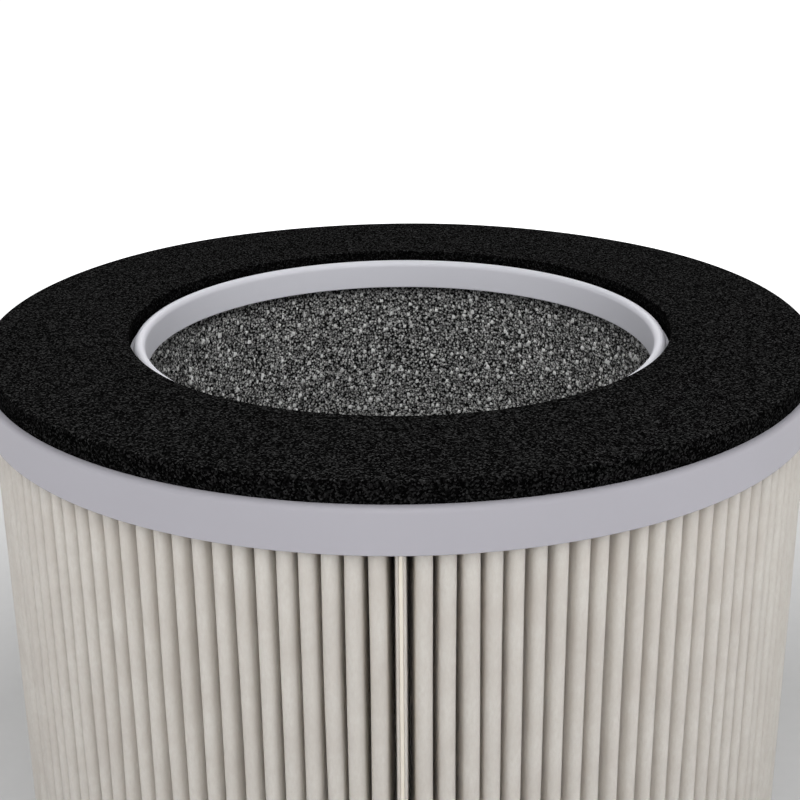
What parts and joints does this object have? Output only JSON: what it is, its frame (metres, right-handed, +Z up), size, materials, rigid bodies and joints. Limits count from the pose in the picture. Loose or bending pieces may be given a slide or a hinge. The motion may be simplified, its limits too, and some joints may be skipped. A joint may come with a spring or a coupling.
{
  "type": "air purifier filter",
  "caption": "Round pleated filter cartridge with end caps, a carbon liner round its open centre and flat foam seals.",
  "frame": {"origin": "centre of the lower gasket's face, on the surface where the cartridge stands", "axes": "+Z up along the cartridge's axis, -Y towards the seam of the pleated sheet"},
  "size_m": [0.1866, 0.1866, 0.15],
  "materials": {
    "foam": "black closed-cell foam with a fine cut face",
    "cap_plastic": "white moulded plastic with a fine satin texture",
    "adhesive": "milky hot-melt adhesive",
    "filter_media": "off-white nonwoven filter media",
    "carbon_sheet": "black activated carbon granules bonded to a nonwoven sheet"
  },
  "bodies": {
    "root": {"top_gasket": "foam", "top_cap": "cap_plastic", "top_potting": "adhesive", "pleated_media": "filter_media", "seam_glue": "adhesive", "carbon_liner": "carbon_sheet", "bottom_potting": "adhesive", "bottom_cap": "cap_plastic", "bottom_gasket": "foam"}
  },
  "joints": []
}
